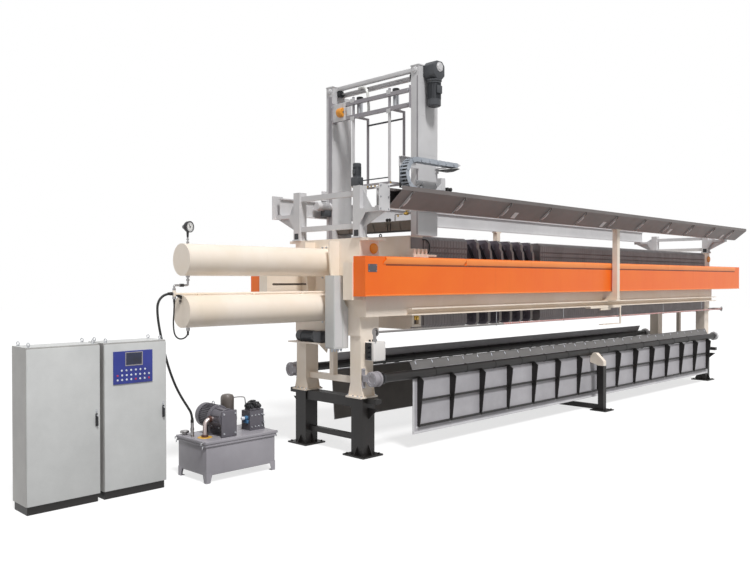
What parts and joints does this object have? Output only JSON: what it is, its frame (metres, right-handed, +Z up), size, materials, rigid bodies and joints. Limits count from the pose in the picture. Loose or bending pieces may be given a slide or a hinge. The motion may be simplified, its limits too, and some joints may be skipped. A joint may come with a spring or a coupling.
{
  "type": "plate filter press",
  "caption": "Horizontal plate filter press with two hydraulic cylinders, parted plates, drip doors, overhead washing tower, hydraulic unit and control cabinets.",
  "frame": {"origin": "middle of the footprint, on the floor", "axes": "+X along the machine from the cylinder end to the feed end, +Z up, -Y the door side"},
  "size_m": [18.8512, 2.875, 6.02],
  "materials": {
    "cream": "satin paint",
    "orange": "satin paint",
    "light_grey": "satin paint",
    "black": "gloss paint",
    "cabinet_grey": "fine textured powder coat",
    "motor_grey": "satin paint",
    "tank_grey": "satin paint",
    "leaf_grey": "satin paint",
    "plate_plastic": "moulded polypropylene",
    "chain_plastic": "moulded",
    "rod_chrome": "ground",
    "steel": "bare",
    "hose_rubber": "matt",
    "cord_red": "sheathed wire",
    "gauge_black": "satin paint",
    "panel_blue": "printed film",
    "box_white": "powder coat"
  },
  "bodies": {
    "root": {"end_stands": "black", "middle_stand": "black", "pipe_saddles": "cream", "press_columns": "cream", "thrust_frame": "cream", "hydraulic_cylinders": "cream", "side_beams": "cream", "beam_covers": "orange", "feed_head": "cream", "rear_plate_pack": "plate_plastic", "cylinder_end_gantry": "light_grey", "feed_end_gantry": "light_grey", "tower_rails": "light_grey", "cable_trough": "light_grey", "rail_columns": "cream", "travel_motor": "motor_grey", "door_drives": "light_grey", "door_bearings": "light_grey", "pull_cord": "cord_red", "cord_brackets": "steel", "tall_box": "cabinet_grey", "terminal_box": "box_white", "motor_shelf": "cream", "shelf_motor": "motor_grey", "unit_tank": "tank_grey", "unit_motor": "tank_grey", "unit_valves": "motor_grey", "unit_ports": "steel", "cylinder_pipes": "steel", "pressure_hose": "hose_rubber", "short_hose": "hose_rubber", "pressure_gauge": "gauge_black", "control_cabinets": "cabinet_grey", "cabinet_plinths": "black"},
    "moving_head": {"moving_head": "cream", "piston_rods": "rod_chrome"},
    "front_plate_pack": {"front_plate_pack": "plate_plastic"},
    "washing_tower": {"tower_legs": "light_grey", "tower_bars": "light_grey", "drip_tray": "motor_grey", "tower_gearmotor": "motor_grey", "drag_chain": "chain_plastic"},
    "spray_carriage": {"spray_carriage": "light_grey"},
    "near_drip_door": {"near_door_pipe": "black", "near_door_frame": "black", "near_door_panels": "leaf_grey"},
    "far_drip_door": {"far_door_pipe": "black", "far_door_frame": "black", "far_door_panels": "leaf_grey"},
    "left_cabinet_door": {"left_cabinet_door": "cabinet_grey"},
    "right_cabinet_door": {"right_cabinet_door": "cabinet_grey", "operator_panel": "panel_blue"},
    "filter_plate_1": {"filter_plate_1": "plate_plastic"},
    "filter_plate_2": {"filter_plate_2": "plate_plastic"},
    "filter_plate_3": {"filter_plate_3": "plate_plastic"},
    "filter_plate_4": {"filter_plate_4": "plate_plastic"},
    "filter_plate_5": {"filter_plate_5": "plate_plastic"},
    "filter_plate_6": {"filter_plate_6": "plate_plastic"}
  },
  "joints": [
    {"name": "head_slide", "type": "slide", "parent": "root", "child": "moving_head", "axis": [1, 0, 0], "range_m": [0, 1.771]},
    {"name": "front_pack_slide", "type": "slide", "parent": "root", "child": "front_plate_pack", "axis": [1, 0, 0], "range_m": [0, 1.771]},
    {"name": "plate_1_slide", "type": "slide", "parent": "root", "child": "filter_plate_1", "axis": [1, 0, 0], "range_m": [0, 1.5181]},
    {"name": "plate_2_slide", "type": "slide", "parent": "root", "child": "filter_plate_2", "axis": [1, 0, 0], "range_m": [0, 1.2651]},
    {"name": "plate_3_slide", "type": "slide", "parent": "root", "child": "filter_plate_3", "axis": [1, 0, 0], "range_m": [0, 1.0121]},
    {"name": "plate_4_slide", "type": "slide", "parent": "root", "child": "filter_plate_4", "axis": [1, 0, 0], "range_m": [0, 0.7591]},
    {"name": "plate_5_slide", "type": "slide", "parent": "root", "child": "filter_plate_5", "axis": [1, 0, 0], "range_m": [0, 0.5061]},
    {"name": "plate_6_slide", "type": "slide", "parent": "root", "child": "filter_plate_6", "axis": [1, 0, 0], "range_m": [0, 0.2531]},
    {"name": "tower_travel", "type": "slide", "parent": "root", "child": "washing_tower", "axis": [1, 0, 0], "range_m": [0, 11.2]},
    {"name": "carriage_lift", "type": "slide", "parent": "washing_tower", "child": "spray_carriage", "axis": [0, 0, -1], "range_m": [0, 0.5]},
    {"name": "near_door_hinge", "type": "hinge", "parent": "root", "child": "near_drip_door", "pos_m": [-4.63565, -0.8875, 1.18], "axis": [1, 0, 0], "range_deg": [0, 88]},
    {"name": "far_door_hinge", "type": "hinge", "parent": "root", "child": "far_drip_door", "pos_m": [-4.63565, 1.0125, 1.18], "axis": [-1, 0, 0], "range_deg": [0, 83]},
    {"name": "left_cabinet_hinge", "type": "hinge", "parent": "root", "child": "left_cabinet_door", "pos_m": [-9.42265, -0.1528, 1], "axis": [0, 0, -1], "range_deg": [0, 110]},
    {"name": "right_cabinet_hinge", "type": "hinge", "parent": "root", "child": "right_cabinet_door", "pos_m": [-8.51265, -0.1528, 1], "axis": [0, 0, -1], "range_deg": [0, 110]}
  ],
  "couplings": [
    {"joint": "front_pack_slide", "follows": "head_slide", "ratio": 1},
    {"joint": "plate_1_slide", "follows": "head_slide", "ratio": 0.85714},
    {"joint": "plate_2_slide", "follows": "head_slide", "ratio": 0.71429},
    {"joint": "plate_3_slide", "follows": "head_slide", "ratio": 0.57143},
    {"joint": "plate_4_slide", "follows": "head_slide", "ratio": 0.42857},
    {"joint": "plate_5_slide", "follows": "head_slide", "ratio": 0.28571},
    {"joint": "plate_6_slide", "follows": "head_slide", "ratio": 0.14286}
  ]
}
